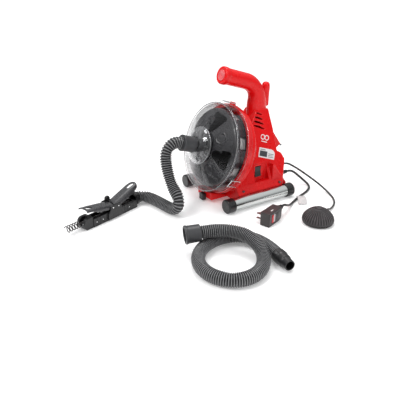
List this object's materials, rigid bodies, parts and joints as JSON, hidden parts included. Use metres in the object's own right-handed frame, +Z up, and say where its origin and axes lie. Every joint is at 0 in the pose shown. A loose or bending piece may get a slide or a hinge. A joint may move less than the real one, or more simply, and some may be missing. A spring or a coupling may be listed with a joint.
{
  "type": "drain snake machine",
  "caption": "Portable drum drain cleaner with clear front cover, guide hose to a lever autofeed with spring tip, air foot pedal, mains cord with shock-protection plug and spare hose.",
  "frame": {"origin": "on the standing plane, under the middle of the two skid tubes", "axes": "+Z up, -Y towards the drum's clear cover, +X towards the switch side"},
  "size_m": [0.5283, 0.7236, 0.3592],
  "materials": {
    "red_plastic": "satin-gloss moulded",
    "clear_plastic": "clear polished",
    "chrome": "bright plated",
    "steel": "machined",
    "black_plastic": "satin moulded",
    "grey_plastic": "satin moulded",
    "hose_plastic": "ribbed satin",
    "rubber": "matte",
    "plug_plastic": "satin moulded",
    "red_button": "satin",
    "grey_button": "satin",
    "brass": "polished",
    "tag_paper": "matte paper"
  },
  "bodies": {
    "machine": {"carry_handle": "red_plastic", "housing_shell_right": "red_plastic", "housing_shell_left": "red_plastic", "skid_tube_right": "chrome", "skid_caps_right": "black_plastic", "skid_tube_left": "chrome", "skid_caps_left": "black_plastic", "front_ring": "red_plastic", "clear_cover": "clear_plastic", "nose_dome": "clear_plastic", "hose_cuff": "grey_plastic", "nose_bearing_plate": "steel", "shaft_bearings": "steel", "bearing_bulkhead": "steel", "gearbox_plate": "steel", "motor_can": "steel", "switch_body": "black_plastic", "air_switch": "black_plastic", "air_hose_gland": "rubber", "cord_strain_relief": "rubber", "front_bumper": "black_plastic", "guide_hose": "hose_plastic", "autofeed_base": "black_plastic", "autofeed_nose": "black_plastic", "hose_clamp": "black_plastic", "lever_pins": "steel", "lever_springs": "steel", "pedal_base": "rubber", "pedal_dome": "rubber", "plug_body": "plug_plastic", "plug_prongs": "brass", "plug_strain_relief": "rubber", "mains_cord": "rubber", "air_hose": "rubber", "cord_tag": "tag_paper", "spare_hose": "hose_plastic", "spare_hose_cuff": "grey_plastic", "spare_hose_nozzle": "grey_plastic", "housing_screws": "steel"},
    "drum": {"drum_front_shell": "black_plastic", "drum_back_plate": "black_plastic", "drum_shaft": "steel", "cable_coil": "steel", "drum_cable_guide": "steel", "drum_gear": "steel"},
    "motor_rotor": {"motor_armature": "steel", "motor_pinion": "steel"},
    "cable_tip": {"drain_cable_end": "steel", "spring_tip": "steel"},
    "rocker": {"switch_rocker": "black_plastic"},
    "latch_top": {"latch_bail_top": "chrome"},
    "latch_right": {"latch_bail_right": "clear_plastic"},
    "latch_left": {"latch_bail_left": "chrome"},
    "advance_arm": {"advance_lever": "black_plastic"},
    "advance_wheel": {"advance_roller": "steel"},
    "retract_arm": {"retract_lever": "black_plastic"},
    "retract_wheel": {"retract_roller": "steel"},
    "pedal_pad": {"pedal_top": "rubber"},
    "reset_button": {"plug_reset_button": "red_button"},
    "test_button": {"plug_test_button": "grey_button"}
  },
  "joints": [
    {"name": "drum_spin", "type": "hinge", "parent": "machine", "child": "drum", "pos_m": [0, -0.098, 0.152], "axis": [0, -0.9563, 0.2924], "continuous": true},
    {"name": "motor_spin", "type": "hinge", "parent": "machine", "child": "motor_rotor", "pos_m": [0, -0.11028, 0.11184], "axis": [0, -0.9563, 0.2924], "continuous": true},
    {"name": "cable_spin", "type": "hinge", "parent": "machine", "child": "cable_tip", "pos_m": [-0.03619, -0.39211, 0.018], "axis": [0.338, -0.9411, 0], "continuous": true},
    {"name": "switch_rock", "type": "hinge", "parent": "machine", "child": "rocker", "pos_m": [0.062, 0.02, 0.079], "axis": [0, 1, 0], "range_deg": [0, 16]},
    {"name": "latch_top_swing", "type": "hinge", "parent": "machine", "child": "latch_top", "pos_m": [0, -0.02228, 0.26113], "axis": [-1, 0, 0], "range_deg": [0, 95]},
    {"name": "latch_right_swing", "type": "hinge", "parent": "machine", "child": "latch_right", "pos_m": [0.10728, -0.07887, 0.07605], "axis": [0.5299, 0.2479, 0.811], "range_deg": [0, 95]},
    {"name": "latch_left_swing", "type": "hinge", "parent": "machine", "child": "latch_left", "pos_m": [-0.10728, -0.07887, 0.07605], "axis": [0.5299, -0.2479, -0.811], "range_deg": [0, 95]},
    {"name": "advance_press", "type": "hinge", "parent": "machine", "child": "advance_arm", "pos_m": [-0.04025, -0.38082, 0.033], "axis": [0.9411, 0.338, 0], "range_deg": [0, 12], "stiffness_Nm_per_rad": 0.3, "springref_deg": -11.46},
    {"name": "advance_roll", "type": "hinge", "parent": "advance_arm", "child": "advance_wheel", "pos_m": [-0.028, -0.41494, 0.03559], "axis": [0.9411, 0.338, 0], "continuous": true},
    {"name": "retract_press", "type": "hinge", "parent": "machine", "child": "retract_arm", "pos_m": [-0.04634, -0.36388, 0.033], "axis": [-0.9411, -0.338, 0], "range_deg": [0, 15], "stiffness_Nm_per_rad": 0.3, "springref_deg": -11.46},
    {"name": "retract_roll", "type": "hinge", "parent": "retract_arm", "child": "retract_wheel", "pos_m": [-0.05835, -0.33043, 0.04061], "axis": [0.9411, 0.338, 0], "continuous": true},
    {"name": "pedal_press", "type": "slide", "parent": "machine", "child": "pedal_pad", "axis": [0, 0, -1], "range_m": [0, 0.006], "stiffness_N_per_m": 500, "springref_m": -0.003, "deforming": ["pedal_dome"]},
    {"name": "reset_press", "type": "slide", "parent": "machine", "child": "reset_button", "axis": [-0.9474, -0.3201, 0], "range_m": [0, 0.0015], "stiffness_N_per_m": 600, "springref_m": -0.001},
    {"name": "test_press", "type": "slide", "parent": "machine", "child": "test_button", "axis": [-0.9474, -0.3201, 0], "range_m": [0, 0.0015], "stiffness_N_per_m": 600, "springref_m": -0.001}
  ],
  "couplings": [
    {"joint": "motor_spin", "follows": "drum_spin", "ratio": -3.6667},
    {"joint": "cable_spin", "follows": "drum_spin", "ratio": 1}
  ]
}
